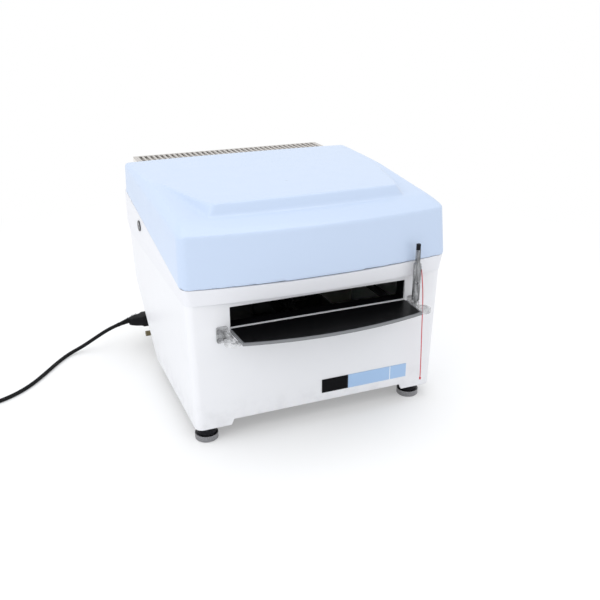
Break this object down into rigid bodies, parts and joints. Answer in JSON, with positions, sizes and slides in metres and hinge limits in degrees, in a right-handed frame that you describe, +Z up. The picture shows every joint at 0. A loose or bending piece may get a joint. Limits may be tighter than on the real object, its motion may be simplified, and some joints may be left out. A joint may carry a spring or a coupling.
{
  "type": "multilabel plate reader",
  "caption": "Bench instrument with a hinged lid, a front plate slot with a fold-up shelf, a moving plate carrier, a rear grille and a mains lead.",
  "frame": {"origin": "centre of the instrument's outline on the surface it stands on, its mains lead left out", "axes": "+Z up, front with the plate slot towards -Y, +X to the right seen from the front"},
  "size_m": [0.9804, 0.5348, 0.3651],
  "materials": {
    "housing": "satin",
    "collar": "satin",
    "lid_blue": "satin",
    "hood_beige": "satin",
    "grille_grey": "satin",
    "inner_steel": "brushed",
    "inner_alu": "satin",
    "inner_black": "matt",
    "black_plastic": "satin",
    "flap_black": "satin",
    "trim_grey": "satin",
    "label_dark": "satin",
    "label_blue": "satin",
    "seal_rubber": "matt",
    "clear_plastic": "clear",
    "steel": "satin",
    "chrome": "polished",
    "foot_metal": "satin",
    "board_green": "satin",
    "cord_black": "satin",
    "cord_red": "satin",
    "brass": "satin"
  },
  "bodies": {
    "frame": {"base_plate": "inner_steel", "housing_shell": "housing", "collar_frame": "collar", "lid_seal": "seal_rubber", "rear_hood": "hood_beige", "rear_grille": "grille_grey", "connector_panel": "hood_beige", "bay_panel_right": "hood_beige", "label_dark": "label_dark", "label_blue": "label_blue", "slot_tunnel": "inner_black", "deck_plate": "inner_black", "optics_head": "inner_alu", "lamp_housing": "inner_alu", "detector_tube": "inner_black", "wheel_motors": "inner_steel", "rail_frame": "inner_steel", "y_motor": "inner_steel", "y_belt": "seal_rubber", "power_supply": "inner_steel", "main_board": "board_green", "fan_frame": "black_plastic", "power_inlet": "black_plastic", "io_sockets": "steel", "rocker_frame": "black_plastic", "lock_ring": "chrome", "lid_hinge_leaves": "steel", "bracket_left": "clear_plastic", "bracket_right": "clear_plastic", "screws": "steel", "foot_collars": "black_plastic", "mains_connector": "cord_black", "mains_lead": "cord_black", "mains_coil": "cord_black", "mains_tail": "cord_black", "mains_plug": "cord_black"},
    "lid": {"lid_shell": "lid_blue", "lid_hinge_arms": "steel"},
    "shelf": {"shelf_top": "flap_black", "shelf_trim": "trim_grey", "shelf_rod": "steel"},
    "pin": {"lock_pin": "clear_plastic", "lock_pin_tip": "black_plastic", "pin_cord": "cord_red"},
    "bridge": {"y_bridge": "inner_alu", "x_motor": "inner_black"},
    "x_screw": {"x_screw": "steel"},
    "carrier": {"plate_carrier": "inner_alu"},
    "y_pulley": {"y_pulley": "inner_alu"},
    "y_idler": {"y_idler": "inner_alu"},
    "filter_wheel_left": {"filter_wheel_left": "inner_alu"},
    "filter_wheel_right": {"filter_wheel_right": "inner_alu"},
    "fan_rotor": {"fan_rotor": "black_plastic"},
    "power_rocker": {"power_rocker": "black_plastic"},
    "lock_barrel": {"lock_barrel": "steel"},
    "earth_knob": {"earth_knob": "brass"},
    "foot_front_left": {"foot_front_left": "foot_metal"},
    "foot_front_right": {"foot_front_right": "foot_metal"},
    "foot_rear_left": {"foot_rear_left": "foot_metal"},
    "foot_rear_right": {"foot_rear_right": "foot_metal"}
  },
  "joints": [
    {"name": "lid_hinge", "type": "hinge", "parent": "frame", "child": "lid", "pos_m": [0, 0.2001, 0.349], "axis": [-1, 0, 0], "range_deg": [0, 60]},
    {"name": "shelf_hinge", "type": "hinge", "parent": "frame", "child": "shelf", "pos_m": [0, -0.1948, 0.1852], "axis": [-1, 0, 0], "range_deg": [0, 72]},
    {"name": "pin_lift", "type": "slide", "parent": "frame", "child": "pin", "axis": [0, 0, 1], "range_m": [0, 0.03]},
    {"name": "stage_y", "type": "slide", "parent": "frame", "child": "bridge", "axis": [0, 1, 0], "range_m": [-0.245, 0.045]},
    {"name": "stage_x", "type": "slide", "parent": "bridge", "child": "carrier", "axis": [1, 0, 0], "range_m": [-0.04, 0.04]},
    {"name": "x_screw_turn", "type": "hinge", "parent": "bridge", "child": "x_screw", "pos_m": [0, 0.1036, 0.186], "axis": [1, 0, 0], "range_deg": [-1450, 1450]},
    {"name": "y_pulley_turn", "type": "hinge", "parent": "frame", "child": "y_pulley", "pos_m": [0, 0.1866, 0.145], "axis": [1, 0, 0], "range_deg": [-280, 1450]},
    {"name": "y_idler_turn", "type": "hinge", "parent": "frame", "child": "y_idler", "pos_m": [0, -0.1474, 0.145], "axis": [1, 0, 0], "range_deg": [-280, 1450]},
    {"name": "filter_wheel_left_turn", "type": "hinge", "parent": "frame", "child": "filter_wheel_left", "pos_m": [-0.076, -0.0194, 0.28], "axis": [1, 0, 0], "continuous": true},
    {"name": "filter_wheel_right_turn", "type": "hinge", "parent": "frame", "child": "filter_wheel_right", "pos_m": [0.076, -0.0194, 0.28], "axis": [1, 0, 0], "continuous": true},
    {"name": "fan_spin", "type": "hinge", "parent": "frame", "child": "fan_rotor", "pos_m": [0.085, 0.2516, 0.24], "axis": [0, 1, 0], "continuous": true},
    {"name": "power_rocker_tilt", "type": "hinge", "parent": "frame", "child": "power_rocker", "pos_m": [-0.186, 0.2126, 0.099], "axis": [0, 1, 0], "range_deg": [-8, 8]},
    {"name": "lock_turn", "type": "hinge", "parent": "frame", "child": "lock_barrel", "pos_m": [-0.21, 0.0856, 0.276], "axis": [1, 0, 0], "range_deg": [0, 90]},
    {"name": "earth_knob_turn", "type": "hinge", "parent": "frame", "child": "earth_knob", "pos_m": [-0.2, 0.1486, 0.044], "axis": [1, 0, 0], "continuous": true},
    {"name": "foot_front_left_turn", "type": "hinge", "parent": "frame", "child": "foot_front_left", "pos_m": [-0.188, -0.1764, 0.01], "axis": [0, 0, 1], "continuous": true},
    {"name": "foot_front_right_turn", "type": "hinge", "parent": "frame", "child": "foot_front_right", "pos_m": [0.1748, -0.1719, 0.01], "axis": [0, 0, 1], "continuous": true},
    {"name": "foot_rear_left_turn", "type": "hinge", "parent": "frame", "child": "foot_rear_left", "pos_m": [-0.15, 0.1086, 0.01], "axis": [0, 0, 1], "continuous": true},
    {"name": "foot_rear_right_turn", "type": "hinge", "parent": "frame", "child": "foot_rear_right", "pos_m": [0.15, 0.1086, 0.01], "axis": [0, 0, 1], "continuous": true}
  ],
  "couplings": [
    {"joint": "x_screw_turn", "follows": "stage_x", "rad_per_m": 628.32},
    {"joint": "y_pulley_turn", "follows": "stage_y", "rad_per_m": -100},
    {"joint": "y_idler_turn", "follows": "stage_y", "rad_per_m": -100}
  ]
}
